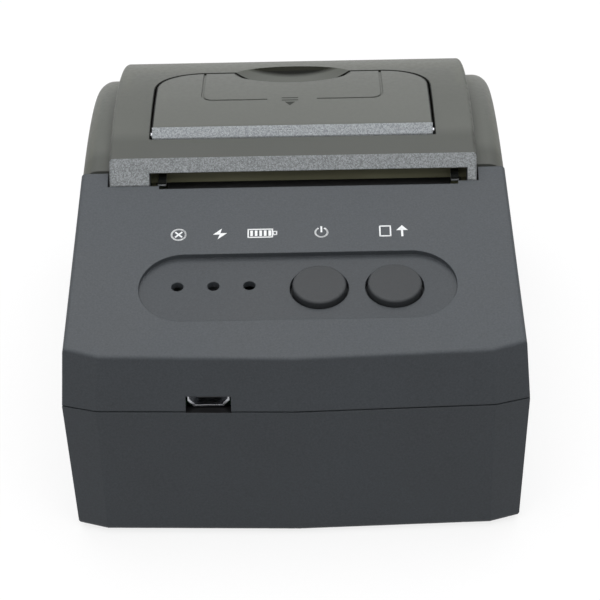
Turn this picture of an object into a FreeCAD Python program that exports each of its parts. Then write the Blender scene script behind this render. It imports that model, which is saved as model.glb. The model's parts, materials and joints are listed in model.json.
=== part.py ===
import FreeCAD, Part
import math
import os

Vec = FreeCAD.Vector

# Portable receipt printer, millimetres, front towards -Y, standing on four rubber feet at Z = 0.
# Most places are written as depth behind the front face and height above the case bottom.

# Case
case_width = 86.0
case_depth = 108.0
foot_height = 0.8
wall = 2.0
seam_height = 28.9
seam_gap = 0.3
lower_draft = 0.9
side_draft = math.radians(4.3)
front_lean = math.radians(6.1)
front_chamfer = 6.5
front_bow = 1.2
corner_depth = 2.0
rear_corner = 6.0
bottom_round = 1.4
upper_front = 11.65
deck_slope = math.radians(14.2)
deck_edge_round = 0.8
rim_drop = 1.15
rim_thickness = 1.6
rim_lead = 8.0
ledge_drop = 3.4
ledge_thickness = 1.4
ledge_length = 3.0
ear_length = 8.0

# Clearances
lid_gap = 0.7
side_gap = 0.6
fit_gap = 0.3
seat_gap = 0.1
running_gap = 0.05
root = 0.2
beyond = 10.0

# Lid
lid_line = 46.7
crown_radius = 69.0
rear_round = 20.0
band_margin = 7.3
band_rise = 3.6
band_rear_round = 18.2
band_edge_round = 0.7
shoulder_round = 3.5
strip_lead = 3.3
strip_run = 2.7
strip_drop = 1.8
guide_setback = 3.9
guide_wall = 1.2
lug_length = 1.5
lug_inset = 1.7
lug_height = 0.9
hinge_rise = 2.3
barrel_radius = 2.5
barrel_gap = 0.4
hinge_pin_radius = 1.25
hinge_pin_grip = 6.0
hinge_pin_reach = 4.4
arm_thickness = 1.5
arm_boss = 1.4
arm_half = 4.0
arm_flare = 5.0

# Paper path
paper_margin = 14.0
paper_offset = 3.0
slot_margin = 1.9
slot_height = 1.94
bin_margin = 1.0
bin_wall = 1.6
bin_lead = 1.9
bin_rear_room = 6.2
bin_foot = 0.4
bin_pad = 12.0
tear_pitch = 1.0
tear_tooth = 0.7
tear_skin = 0.5
tear_thickness = 1.0
tear_seat = 3.3
tear_lead = 1.1
tear_margin = 1.5

# Flap on the lid
flap_margin = 8.2
flap_setback = 5.2
flap_length = 28.3
flap_proud = 1.8
flap_lean = 1.0
flap_arch = 0.88
flap_thickness = 2.4
flap_corner = 9.5
flap_gap = 0.4
flap_floor = 1.4
flap_rim = 1.8
flap_pin_radius = 0.6
flap_pin_setback = 2.4
flap_pin_sink = 1.1
flap_pin_reach = 1.2
flap_spring_length = 7.0
flap_spring_radius = 1.3
flap_spring_wire = 0.2
flap_spring_turns = 8
nose_drop = 0.4
nose_foot = 1.5
groove_margin = 9.2
groove_reach = 16.3
groove_corner = 2.5
groove_width = 0.5
groove_depth = 0.3
groove_break = 10.0
scoop_width = 24.0
scoop_depth = 4.0
scoop_length = 13.0
scoop_wall = 1.5

# Control panel
panel_x = 0.7
panel_depth = 17.35
panel_margin = 13.4
panel_width = 16.7
panel_slope = math.radians(11.2)
panel_front_sink = 0.15
button_shares = (0.0676, 0.3041)
button_setback = 0.2
button_radius = 5.0
button_gap = 0.5
button_proud = 1.4
button_crown = 45.0
button_edge_round = 0.4
button_flange = 1.1
flange_thickness = 0.8
button_travel = 0.5
stem_radius = 1.5
light_shares = (-0.3784, -0.2652, -0.152)
light_setback = 0.75
light_hole_radius = 1.15
light_radius = 1.5
light_body = 4.5
key_board_drop = 8.0
key_board_margin = 1.0
key_board_width = 15.0
key_post_inset = 3.0
key_post_forward = 5.2
key_post_radius = 1.8
key_screw_radius = 0.7
key_screw_head_radius = 1.5
key_screw_head_height = 1.0
key_screw_grip = 3.8
switch_width = 6.0
switch_height = 3.5
switch_well = 2.0
plunger_radius = 1.75
board_thickness = 1.6

# Gear train, module and tooth counts
gear_module = 0.5
pressure_angle = math.radians(20.0)
dedendum = 1.25
backlash = 0.10
pinion_teeth = 12
wheel_teeth = 32
small_teeth = 14
platen_teeth = 24
train_angle = math.radians(76.0)
motor_angle = math.radians(221.5)
gear_width = 2.2
gear_step = 0.4
stud_radius = 1.0
stud_head = 0.8
stud_head_width = 0.6

# Printing mechanism
platen_sink = 7.2
platen_setback = 9.1
platen_radius = 4.2
platen_end_gap = 1.0
shaft_radius = 1.5
bushing_radius = 3.0
notch_reach = 12.0
notch_front_flare = 1.2
notch_rear_flare = 0.3
frame_plate = 1.5
frame_margin = 4.5
frame_wall = 1.5
frame_rear_reach = 5.5
frame_foot_drop = 11.0
frame_wall_drop = 8.0
frame_lug_inset = 6.5
frame_lug_reach = 3.5
frame_lug_half = 4.0
frame_lug_drop = 2.0
frame_boss_radius = 2.6
frame_screw_grip = 4.0
tie_drop = 9.6
tie_depth = 2.8
tie_setback = 0.6
guide_gap = 0.7
guide_thickness = 1.2
guide_first = math.radians(235.0)
guide_last = math.radians(325.0)
paper_gap = 0.1
head_rise = 3.0
head_drop = 7.5
head_thickness = 2.0
head_end_gap = 0.5
head_pivot_drop = 6.4
head_pivot_radius = 0.9
ceramic_thickness = 1.0
ceramic_drop = 4.5
ceramic_end_gap = 2.0
leaf_room = 4.7
leaf_thickness = 0.3
leaf_half_height = 3.6
leaf_width = 8.0
leaf_share = 0.24
motor_radius = 7.5
motor_length = 15.0
motor_shaft_radius = 1.0
motor_shaft_grip = 4.6
motor_cap = 0.8
motor_cap_step = 1.5
motor_plug_width = 8.0
motor_plug_height = 4.0
motor_plug_reach = 1.4
motor_mount_margin = 0.6
sensor_width = 4.0
sensor_depth = 2.1
sensor_height = 2.0
sensor_inset = 5.0

# Boards, battery and fasteners
board_margin = 11.0
board_front = 3.4
board_gap = 0.5
board_post_inset = 3.0
board_post_radius = 2.2
board_screw_grip = 5.0
chip_unit = 1.0
usb_x = -15.95
usb_width = 7.7
usb_height = 2.8
usb_flank = 1.3
usb_taper = 1.1
usb_skin = 0.35
usb_setback = 1.0
usb_length = 5.6
usb_back = 0.6
usb_notch = 8.3
usb_tongue_width = 4.0
usb_tongue_thickness = 0.7
usb_tongue_setback = 0.8
battery_height = 15.0
battery_round = 4.0
battery_margin = 2.6
battery_lift = 1.6
battery_step = 1.4
door_margin = 15.4
door_width = 30.0
door_front = 6.0
door_ledge = 2.0
door_lip = 1.2
door_sink = 0.3
hook_places = (-15.0, 15.0)
hook_half = 3.0
hook_thickness = 1.0
hook_riser = 1.2
thumb_radius = 2.8
thumb_sink = 0.6
thumb_half = 8.0
screw_radius = 1.0
screw_bite = 0.15
screw_head_radius = 1.8
screw_head_height = 1.2
screw_head_gap = 0.2
case_screw_grip = 16.0
case_screw_length = 21.0
post_radius = 3.2
post_margin = 1.8
post_step = 0.4
foot_radius = 4.0
foot_sink = 0.5
foot_round = 0.4
foot_inset = 4.0
foot_front = 17.0
foot_rear_room = 18.8
tongue_root = 4.0
tongue_rise = 1.8
tongue_wall = 1.0
tongue_gap = 0.1

# Derived places
front_y = front_bow - case_depth / 2
rear_depth = case_depth - front_bow
deck_front_height = seam_height + upper_front
rim_height = deck_front_height - rim_drop
rim_low = rim_height - rim_thickness
band_half = case_width / 2 - band_margin
ear_face = band_half + fit_gap
deck_edge = math.tan(front_lean) * upper_front
deck_sink = wall / math.cos(deck_slope)


def deck_height(depth):
    return deck_front_height + math.tan(deck_slope) * (depth - deck_edge)


line_height = deck_height(lid_line)
top_height = line_height + crown_radius / 2
crown_depth = lid_line + crown_radius * math.sin(deck_slope)
crown_height = line_height - crown_radius * math.cos(deck_slope)
band_radius = crown_radius + band_rise
hinge_depth = rear_depth - barrel_radius
hinge_height = seam_height + hinge_rise
lid_side = rim_height + side_gap
strip_foot = lid_line - strip_lead
strip_height = deck_height(strip_foot)
strip_low = strip_height - strip_drop
slot_roof = strip_height + slot_height
guide_depth = strip_foot + guide_setback
cavity_front = guide_depth + guide_wall
tear_line = strip_foot - tear_lead

paper_width = case_width - 2 * paper_margin
platen_left = paper_offset - paper_width / 2
platen_right = paper_offset + paper_width / 2
slot_left = platen_left - slot_margin
slot_right = platen_right + slot_margin
platen_depth = strip_foot + platen_setback
platen_height = strip_height - platen_sink
platen_centre = (platen_depth, platen_height)
rim_start = platen_depth + rim_lead
bin_front = platen_depth + bin_lead
bin_outer = (rear_depth - bin_rear_room - bin_front) / 2
bin_radius = bin_outer - bin_wall
bin_depth = bin_front + bin_outer
bin_height = wall + bin_foot + bin_outer
bin_left = platen_left - bin_margin - bin_wall
bin_right = platen_right + bin_margin + bin_wall

wheel_reach = gear_module * (small_teeth + platen_teeth) / 2
wheel_depth = platen_depth - wheel_reach * math.cos(train_angle)
wheel_height = platen_height - wheel_reach * math.sin(train_angle)
wheel_centre = (wheel_depth, wheel_height)
motor_reach = gear_module * (pinion_teeth + wheel_teeth) / 2
motor_depth = wheel_depth + motor_reach * math.cos(motor_angle)
motor_height = wheel_height + motor_reach * math.sin(motor_angle)
motor_centre = (motor_depth, motor_height)
frame_left = platen_left - frame_margin
frame_right = platen_right + frame_margin
frame_inner_left = frame_left + frame_plate
frame_inner_right = frame_right - frame_plate
small_x1 = frame_left - gear_step
small_x0 = small_x1 - gear_width
wheel_x1 = small_x0 - gear_step
wheel_x0 = wheel_x1 - gear_width
head_face = platen_depth - platen_radius - paper_gap
head_back = head_face - ceramic_thickness - head_thickness
head_high = platen_height + head_rise
head_low = platen_height - head_drop
head_pivot_depth = head_back + head_thickness / 2
head_pivot_height = platen_height - head_pivot_drop
frame_wall_back = head_back - leaf_room
frame_wall_depth = frame_wall_back - frame_wall
frame_wall_low = platen_height - frame_wall_drop
frame_foot = platen_height - frame_foot_drop
frame_lug_places = (platen_left + frame_lug_inset, platen_right - frame_lug_inset)
frame_lug_depth = frame_wall_depth - frame_lug_reach
frame_lug_top = platen_height - frame_lug_drop
guide_inner = platen_radius + guide_gap
guide_outer = guide_inner + guide_thickness
arm_left = frame_inner_left + fit_gap + root
arm_right = frame_inner_right - fit_gap - root - arm_thickness

flap_half = band_half - flap_margin
flap_front = lid_line + flap_setback
flap_rear = flap_front + flap_length
flap_pin_depth = flap_front + flap_pin_setback

panel_length = case_width - 2 * panel_margin
panel_edge = panel_depth - panel_width / 2 * math.cos(panel_slope)
button_places = tuple(panel_x + panel_length * share for share in button_shares)
button_depth = panel_depth - button_setback
light_places = tuple(panel_x + panel_length * share for share in light_shares)
light_depth = panel_depth + light_setback
key_post_half = panel_length / 2 - key_post_inset
key_post_places = (panel_x - key_post_half, panel_x + key_post_half)
key_post_depth = panel_depth - key_post_forward

board_top = seam_height + seam_gap
board_under = board_top - board_thickness
board_half = case_width / 2 - board_margin
board_rear = motor_depth - motor_radius - motor_plug_reach - board_gap
board_length = board_rear - board_front
board_post_x = board_half - board_post_inset
board_post_depths = (board_front + board_post_inset, board_rear - board_post_inset)
front_post = (case_width / 2 - wall - post_radius - post_margin, wall + post_radius + post_margin)
rear_post = (bin_right + fit_gap + post_radius, rear_depth - rear_corner - post_radius - post_margin)
foot_x = case_width / 2 - foot_radius - foot_inset
foot_depths = (foot_front, rear_depth - foot_rear_room)
door_half = case_width / 2 - door_margin
door_rear = door_front + door_width
door_top = wall - door_sink
ledge_top = wall + door_lip
door_screw_depth = door_rear - door_ledge - door_lip
pilot_radius = screw_radius - screw_bite
clear_radius = screw_radius + seat_gap


def panel_floor(depth):
    rise = math.tan(panel_slope) * (depth - panel_edge)
    return deck_height(panel_edge) - panel_front_sink + rise


def band_height(depth, sink=0.0):
    radius = band_radius - sink
    return crown_height + math.sqrt(radius ** 2 - (depth - crown_depth) ** 2)


flap_pin_height = band_height(flap_pin_depth) - flap_pin_sink


# Building blocks
def point(x, depth, height):
    return Vec(x, front_y + depth, foot_height + height)


def block(x0, x1, depth0, depth1, height0, height1):
    corner = point(x0, depth0, height0)
    return Part.makeBox(x1 - x0, depth1 - depth0, height1 - height0, corner)


def wide_block(depth0, depth1, height0, height1):
    return block(-case_width, case_width, depth0, depth1, height0, height1)


def rod(x0, x1, depth, height, radius):
    return Part.makeCylinder(radius, x1 - x0, point(x0, depth, height), Vec(1, 0, 0))


def post(x, depth, height0, height1, radius):
    return Part.makeCylinder(radius, height1 - height0, point(x, depth, height0))


def prism(outline, x0, x1):
    corners = [point(x0, depth, height) for depth, height in outline]
    face = Part.Face(Part.makePolygon(corners + corners[:1]))
    return face.extrude(Vec(x1 - x0, 0, 0))


def curved_prism(start, steps, x0, x1):
    # a step is one point for a straight side, or a middle and an end point for an arc
    edges = []
    here = start
    for step in steps + [start]:
        if isinstance(step[0], tuple):
            middle, there = step
            arc = Part.Arc(point(x0, *here), point(x0, *middle), point(x0, *there))
            edges.append(arc.toShape())
        else:
            there = step
            edges.append(Part.makeLine(point(x0, *here), point(x0, *there)))
        here = there
    return Part.Face(Part.Wire(edges)).extrude(Vec(x1 - x0, 0, 0))


def disc(radius, low, high):
    # round solid on the panel's own axes, for on_panel
    return Part.makeCylinder(radius, high - low, Vec(0, 0, low))


def joined(shapes):
    return shapes[0].multiFuse(shapes[1:]).removeSplitter()


def less(shape, tools):
    for tool in tools:
        shape = shape.cut(tool)
    return shape


def mirrored(shape):
    return shape.mirror(Vec(0, 0, 0), Vec(1, 0, 0))


def on_circle(centre, radius, angle):
    return (centre[0] + radius * math.cos(angle), centre[1] + radius * math.sin(angle))


# Outer form of the case
def inset_corners(corners, inset):
    moved = []
    count = len(corners)
    for index in range(count):
        lines = []
        for a, b in ((index - 1, index), (index, (index + 1) % count)):
            (ax, ay), (bx, by) = corners[a], corners[b]
            length = math.hypot(bx - ax, by - ay)
            nx, ny = -(by - ay) / length, (bx - ax) / length
            lines.append((nx, ny, nx * ax + ny * ay + inset))
        (a1, b1, c1), (a2, b2, c2) = lines
        det = a1 * b2 - a2 * b1
        moved.append(((c1 * b2 - c2 * b1) / det, (a1 * c2 - a2 * c1) / det))
    return moved


def plan_wire(height, inset):
    rise = height - seam_height
    if rise >= 0:
        side = rise * math.tan(side_draft)
        front = rise * math.tan(front_lean)
        rear = 0.0
        flat = case_width / 2 - front_chamfer - side
    else:
        side = front = rear = -rise / seam_height * lower_draft
        flat = case_width / 2 - front_chamfer
    half = case_width / 2 - side
    back = rear_depth - rear
    shoulder = front + corner_depth
    corners = [(0.0, front - front_bow), (flat, front), (half, shoulder), (half, back),
               (-half, back), (-half, shoulder), (-flat, front)]
    places = [point(x, depth, height) for x, depth in inset_corners(corners, inset)]
    return Part.makePolygon(places + places[:1])


def case_block(height0, height1, inset=0.0):
    solid = Part.makeLoft([plan_wire(height0, inset), plan_wire(height1, inset)], True, True)
    rear_edges = []
    for edge in solid.Edges:
        ends = [vertex.Point for vertex in edge.Vertexes]
        upright = abs(ends[0].z - ends[1].z) > (height1 - height0) / 2
        if upright and min(ends[0].y, ends[1].y) > 0:
            rear_edges.append(edge)
    return solid.makeFillet(rear_corner - inset, rear_edges)


def dome(radius, round_radius, shrink, start, bottom, half_width):
    # roof arc and rear arc, both tangent, closed by a flat bottom
    centre = (crown_depth, crown_height)
    turn_depth = rear_depth - round_radius
    reach = radius - round_radius
    turn_height = crown_height + math.sqrt(reach ** 2 - (turn_depth - crown_depth) ** 2)
    turn = (turn_depth, turn_height)
    bend = math.atan2(turn_height - crown_height, turn_depth - crown_depth)
    roof = radius - shrink
    first = math.acos((start - crown_depth) / roof)
    front_top = on_circle(centre, roof, first)
    roof_arc = (on_circle(centre, roof, (first + bend) / 2), on_circle(centre, roof, bend))
    rear = round_radius - shrink
    rear_arc = (on_circle(turn, rear, bend / 2), on_circle(turn, rear, 0.0))
    steps = [front_top, roof_arc, rear_arc, (rear_depth - shrink, bottom)]
    return curved_prism((start, bottom), steps, -half_width, half_width)


def shoulder_dome(shrink, start):
    return dome(crown_radius, rear_round, shrink, start, 0.0, case_width)


def band_dome(shrink, start, bottom, half_width):
    return dome(band_radius, band_rear_round, shrink, start, bottom, half_width)


# Lower case and what is fixed in it
def post_places():
    places = []
    for side in (-1, 1):
        places.append((side * front_post[0], front_post[1]))
        places.append((side * rear_post[0], rear_post[1]))
    return places


def board_post_places():
    return [(side * board_post_x, depth) for side in (-1, 1) for depth in board_post_depths]


def foot_places():
    return [(side * foot_x, depth) for side in (-1, 1) for depth in foot_depths]


def screw_well(x, depth):
    head_room = post(x, depth, -beyond, seam_height - case_screw_grip, screw_head_radius + screw_head_gap)
    return joined([head_room, post(x, depth, -beyond, seam_height + beyond, clear_radius)])


def side_tongue():
    # locating tongue along one side, rooted in the lower wall and standing inside the upper one
    front_end = front_post[1] + post_radius + tongue_wall
    rear_end = rear_post[1] - post_radius - tongue_wall
    low, high = seam_height - tongue_root, seam_height + tongue_rise
    inner = case_block(low, high, wall + tongue_gap + tongue_wall)
    ring = case_block(seam_height, high, wall + tongue_gap)
    foot = case_block(low, seam_height, wall - tongue_gap)
    side = block(0, case_width, front_end, rear_end, 0, top_height)
    return joined([ring, foot]).cut(inner).common(side)


def lower_case():
    outer = case_block(0.0, seam_height)
    low_edges = [edge for edge in outer.Edges if edge.BoundBox.ZMax < foot_height + running_gap]
    outer = outer.makeFillet(bottom_round, low_edges)
    inner = case_block(0.0, seam_height, wall)
    inner = inner.common(wide_block(-beyond, rear_depth + beyond, wall, seam_height + beyond))
    floor_top = wall - root
    frame = block(-door_half - wall, door_half + wall, door_front - wall, door_rear + wall,
                  floor_top, ledge_top)
    adds = [outer.cut(inner), frame]
    adds += [post(x, depth, floor_top, seam_height, post_radius) for x, depth in post_places()]
    adds += [post(x, depth, floor_top, board_under, board_post_radius) for x, depth in board_post_places()]
    tongue = side_tongue()
    adds += [tongue, mirrored(tongue)]
    door_hole = block(-door_half, door_half, door_front, door_rear, -beyond, door_top)
    hatch = block(-door_half + door_ledge, door_half - door_ledge, door_front + door_ledge,
                  door_rear - door_ledge, -beyond, wall + beyond)
    screw_tab = block(-post_radius, post_radius, door_screw_depth - post_radius, door_rear,
                      door_top, wall + beyond)
    tools = [door_hole, hatch.cut(screw_tab)]
    tools += [screw_well(x, depth) for x, depth in post_places()]
    tools += [post(x, depth, -beyond, foot_sink, foot_radius) for x, depth in foot_places()]
    tools.append(post(0, door_screw_depth, -beyond, wall + beyond, pilot_radius))
    pilot_foot = board_under - board_screw_grip - board_post_inset
    tools += [post(x, depth, pilot_foot, board_under + beyond, pilot_radius)
              for x, depth in board_post_places()]
    # room for the lid's hinge barrel, and for its rear wall when the lid lies open
    tools.append(rod(-ear_face, ear_face, hinge_depth, hinge_height, barrel_radius + barrel_gap))
    tools.append(block(-ear_face, ear_face, hinge_depth, rear_depth + beyond,
                       hinge_height - barrel_radius - lid_gap, seam_height + beyond))
    return less(joined(adds), tools)


def battery_door():
    gap = fit_gap
    adds = [block(-door_half + gap, door_half - gap, door_front + gap, door_rear - gap, 0.0, door_top)]
    hook_low = ledge_top + seat_gap
    hook_high = hook_low + hook_thickness
    riser_front = door_front + door_ledge + root
    riser_rear = riser_front + hook_riser
    for x in hook_places:
        adds.append(block(x - hook_half, x + hook_half, riser_front, riser_rear, door_top / 2, hook_high))
        adds.append(block(x - hook_half, x + hook_half, door_front + gap, riser_rear, hook_low, hook_high))
    hole = post(0, door_screw_depth, -beyond, wall, clear_radius)
    sink = post(0, door_screw_depth, -beyond, screw_head_height - fit_gap, screw_head_radius + screw_head_gap)
    groove = rod(-thumb_half, thumb_half, door_front + door_width / 2, thumb_sink - thumb_radius, thumb_radius)
    return less(joined(adds), [hole, sink, groove])


def battery_door_screw():
    head_top = screw_head_height - fit_gap
    head = post(0, door_screw_depth, root, head_top, screw_head_radius)
    return joined([head, post(0, door_screw_depth, root, ledge_top, pilot_radius)])


def battery_pack():
    front = door_front + battery_margin + battery_step + root
    low = wall + battery_lift
    pack = block(-door_half + battery_margin, door_half - battery_margin, front,
                 door_rear - battery_margin + battery_step - root, low, low + battery_height)
    long_edges = [edge for edge in pack.Edges if abs(edge.tangentAt(0).x) > 0.9]
    return pack.makeFillet(battery_round, long_edges)


def rubber_feet():
    feet = []
    for x, depth in foot_places():
        foot = post(x, depth, -foot_height, foot_sink, foot_radius)
        rim = [edge for edge in foot.Edges if edge.BoundBox.ZMax < running_gap and edge.Closed]
        feet.append(foot.makeFillet(foot_round, rim))
    return Part.makeCompound(feet)


def screw(x, depth, seat, length, up):
    # the head bears on the seat and the shank runs up from it, or down where up is -1
    tip = seat + up * length
    head = seat - up * screw_head_height
    return joined([post(x, depth, min(seat, tip), max(seat, tip), pilot_radius),
                   post(x, depth, min(seat, head), max(seat, head), screw_head_radius)])


def case_screws():
    seat = seam_height - case_screw_grip
    return Part.makeCompound([screw(x, depth, seat, case_screw_length, 1) for x, depth in post_places()])


def board_screws():
    length = board_thickness + board_screw_grip
    return Part.makeCompound([screw(x, depth, board_top, length, -1) for x, depth in board_post_places()])


# Upper case
def stadium(length, width, height):
    straight = length - width
    radius = width / 2
    ends = [Part.makeCylinder(radius, height, Vec(side * straight / 2, 0, 0)) for side in (-1, 1)]
    middle = Part.makeBox(straight, width, height, Vec(-straight / 2, -radius, 0))
    return joined([middle] + ends)


def on_panel(shape, x, depth):
    # from a frame on the panel floor, Z along the floor's normal, to the case
    placed = shape.copy()
    turn = FreeCAD.Rotation(Vec(1, 0, 0), math.degrees(panel_slope))
    placed.Placement = FreeCAD.Placement(point(x, depth, panel_floor(depth)), turn)
    return placed


def deck_edges(solid):
    # outline edges of the sloping deck, without the one under the lid's front
    found = []
    for edge in solid.Edges:
        ends = [vertex.Point for vertex in edge.Vertexes]
        on_deck = [abs(end.z - foot_height - deck_height(end.y - front_y)) < running_gap for end in ends]
        at_line = [end.y > front_y + lid_line - running_gap for end in ends]
        if len(ends) == 2 and all(on_deck) and not all(at_line):
            found.append(edge)
    return found


def upper_shell():
    low = seam_height + seam_gap
    outline = [(-beyond, low), (-beyond, deck_height(-beyond)), (lid_line, line_height),
               (lid_line, rim_height), (rear_depth + beyond, rim_height), (rear_depth + beyond, low)]
    outer = case_block(seam_height, top_height).common(prism(outline, -case_width, case_width))
    front_form = wide_block(-beyond, lid_line, 0, top_height)
    outer = outer.common(joined([shoulder_dome(0.0, lid_line), front_form]))
    outer = outer.makeFillet(deck_edge_round, deck_edges(outer))
    below = seam_height - beyond
    back = lid_line + seat_gap
    inner_outline = [(-beyond, below), (-beyond, deck_height(-beyond) - deck_sink),
                     (back, line_height - deck_sink), (back, top_height),
                     (rear_depth + beyond, top_height), (rear_depth + beyond, below)]
    inner = case_block(seam_height, top_height, wall)
    return outer.cut(inner.common(prism(inner_outline, -case_width, case_width)))


def upper_side(side):
    # rim beside the paper bin, hinge ear and ledge under the lid's shoulder
    inside = case_block(seam_height, top_height, wall / 2)
    edge = bin_left + bin_wall if side < 0 else bin_right - bin_wall
    x0, x1 = sorted((edge, side * case_width / 2))
    rim = block(x0, x1, rim_start, rear_depth - ear_length / 2, rim_low, rim_height).common(inside)
    x0, x1 = sorted((side * ear_face, side * case_width / 2))
    ear = block(x0, x1, rear_depth - ear_length, rear_depth, seam_height + seam_gap, rim_height)
    ear = ear.common(inside).common(shoulder_dome(0.0, lid_line))
    ledge_high = line_height - ledge_drop
    ledge_low = ledge_high - ledge_thickness
    front, back = lid_line - ledge_length, lid_line + ledge_length
    ledge = prism([(front, line_height - ledge_length), (lid_line, line_height - wall / 2),
                   (lid_line, ledge_high), (back, ledge_high), (back, ledge_low), (front, ledge_low)], x0, x1)
    return [rim, ear, ledge.common(case_block(seam_height, top_height, wall + fit_gap))]


def upper_posts():
    inside = case_block(seam_height, top_height, wall / 2)
    posts = []
    for x, depth in post_places():
        roof = (deck_height(depth) if depth < lid_line else rim_height) - wall / 2
        posts.append(post(x, depth, seam_height, roof, post_radius - post_step).common(inside))
    for x in frame_lug_places:
        roof = deck_height(frame_lug_depth) - wall / 2
        posts.append(post(x, frame_lug_depth, frame_lug_top, roof, frame_boss_radius))
    peg = disc(key_post_radius, -key_board_drop, -wall / 2)
    posts += [on_panel(peg, x, key_post_depth) for x in key_post_places]
    return posts


def upper_case():
    body = joined([upper_shell()] + upper_side(-1) + upper_side(1) + upper_posts())
    deck_notch = block(-ear_face, ear_face, strip_foot - fit_gap, lid_line + ledge_length + wall,
                       line_height - beyond, top_height)
    mouth = block(platen_left, platen_right, tear_line, strip_foot, deck_height(tear_line) - beyond, top_height)
    gate = block(-ear_face, ear_face, rear_depth - ear_length, rear_depth + beyond, 0, top_height)
    recess = on_panel(stadium(panel_length, panel_width, beyond), panel_x, panel_depth)
    usb = block(usb_x - usb_notch / 2, usb_x + usb_notch / 2, -beyond, usb_setback + usb_length,
                0, board_top + usb_height + fit_gap)
    tools = [deck_notch, mouth, gate, recess, usb, tear_pocket()]
    hole = disc(button_radius + button_gap, -beyond, beyond)
    tools += [on_panel(hole, x, button_depth) for x in button_places]
    hole = disc(light_hole_radius, -beyond, beyond)
    tools += [on_panel(hole, x, light_depth) for x in light_places]
    screw_end = seam_height - case_screw_grip + case_screw_length + root
    tools += [post(x, depth, 0, screw_end, pilot_radius) for x, depth in post_places()]
    lug_screw_end = frame_lug_top + frame_screw_grip + root
    tools += [post(x, frame_lug_depth, 0, lug_screw_end, pilot_radius) for x in frame_lug_places]
    bore = hinge_pin_radius + running_gap
    reach = ear_face + hinge_pin_reach + root
    tools.append(rod(-reach, reach, hinge_depth, hinge_height, bore))
    key_pilot = disc(key_screw_radius, -beyond, key_screw_grip + root - key_board_drop)
    tools += [on_panel(key_pilot, x, key_post_depth) for x in key_post_places]
    return less(body, tools)


def tear_outline(depth0, depth1, lift):
    top0, top1 = deck_height(depth0) - lift, deck_height(depth1) - lift
    return [(depth0, top0 - tear_thickness), (depth0, top0), (depth1, top1), (depth1, top1 - tear_thickness)]


def tear_pocket():
    low, front, rear, last = tear_outline(tear_line - tear_seat, strip_foot + tear_lead, tear_skin)
    outline = [(low[0], low[1] - wall), front, rear, (last[0], last[1] - wall)]
    return prism(outline, platen_left - tear_skin, platen_right + tear_skin)


def tear_bar():
    outline = tear_outline(tear_line - tear_seat, tear_line, tear_skin)
    strip = prism(outline, platen_left - tear_skin, platen_right + tear_skin)
    count = int((paper_width - 2 * tear_margin) / tear_pitch)
    start = paper_offset - count * tear_pitch / 2
    foot = tear_line - root
    low = deck_height(foot) - tear_skin - tear_thickness
    teeth = []
    for index in range(count):
        x = start + index * tear_pitch
        corners = [point(x, foot, low), point(x + tear_pitch, foot, low),
                   point(x + tear_pitch / 2, tear_line + tear_tooth, low)]
        face = Part.Face(Part.makePolygon(corners + corners[:1]))
        teeth.append(face.extrude(Vec(0, 0, tear_thickness)))
    return joined([strip] + teeth)


# Paper bin
def trough(radius, x0, x1, roof):
    centre = (bin_depth, bin_height)
    bottom = on_circle(centre, radius, -math.pi / 2)
    steps = [(bin_depth - radius, bin_height), (bottom, (bin_depth + radius, bin_height)),
             (bin_depth + radius, roof)]
    return curved_prism((bin_depth - radius, roof), steps, x0, x1)


def paper_bin():
    outer = trough(bin_outer, bin_left, bin_right, rim_low)
    pads = block(bin_left, bin_right, bin_depth - bin_pad / 2, bin_depth + bin_pad / 2, wall, wall + bin_wall)
    inner = trough(bin_radius, bin_left + bin_wall, bin_right - bin_wall, rim_low + beyond)
    return joined([outer, pads]).cut(inner)


# Boards
def main_board():
    board = block(-board_half, board_half, board_front, board_rear, board_under, board_top)
    return less(board, [post(x, depth, 0, top_height, pilot_radius) for x, depth in board_post_places()])


# places as shares of the half width and of the length, then width, length and height in chip units
board_chips = ((0.0, 0.43, 8, 8, 1.2), (0.44, 0.35, 8, 7, 1.4), (-0.66, 0.66, 6, 6, 2.0),
               (0.56, 0.82, 10, 6, 3.2), (-0.16, 0.84, 14, 5, 2.6), (0.77, 0.4, 3, 6, 1.0))


def board_components():
    chips = []
    for x_share, depth_share, width, length, height in board_chips:
        x = board_half * x_share
        depth = board_front + board_length * depth_share
        dx, dy = chip_unit * width / 2, chip_unit * length / 2
        chips.append(block(x - dx, x + dx, depth - dy, depth + dy, board_top, board_top + chip_unit * height))
    return Part.makeCompound(chips)


def usb_prism(inset, depth0, depth1):
    half = usb_width / 2 - inset
    low = board_top + inset
    high = board_top + usb_height - inset
    outline = [(-half, high), (half, high), (half, low + usb_flank), (half - usb_taper, low),
               (usb_taper - half, low), (-half, low + usb_flank)]
    corners = [point(usb_x + x, depth0, height) for x, height in outline]
    face = Part.Face(Part.makePolygon(corners + corners[:1]))
    return face.extrude(Vec(0, depth1 - depth0, 0))


def usb_shell():
    rear = usb_setback + usb_length
    return usb_prism(0.0, usb_setback, rear).cut(usb_prism(usb_skin, -beyond, rear - usb_back))


def usb_tongue():
    high = board_top + usb_height / 2 + usb_tongue_thickness
    half = usb_tongue_width / 2
    return block(usb_x - half, usb_x + half, usb_setback + usb_tongue_setback,
                 usb_setback + usb_length - usb_back, high - usb_tongue_thickness, high)


def key_board():
    length = panel_length + 2 * key_board_margin
    corner = Vec(-length / 2, -key_board_width / 2, -key_board_drop - board_thickness)
    board = on_panel(Part.makeBox(length, key_board_width, board_thickness, corner), panel_x, panel_depth)
    hole = disc(key_screw_radius + seat_gap, -2 * beyond, beyond)
    return less(board, [on_panel(hole, x, key_post_depth) for x in key_post_places])


def key_screws():
    under = -key_board_drop - board_thickness
    head = disc(key_screw_head_radius, under - key_screw_head_height, under)
    shank = disc(key_screw_radius, under, key_screw_grip - key_board_drop)
    both = joined([head, shank])
    return Part.makeCompound([on_panel(both, x, key_post_depth) for x in key_post_places])


switch_top = switch_height - key_board_drop
switch_floor = switch_top - switch_well
stem_foot = switch_top + button_travel + fit_gap + seat_gap


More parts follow.
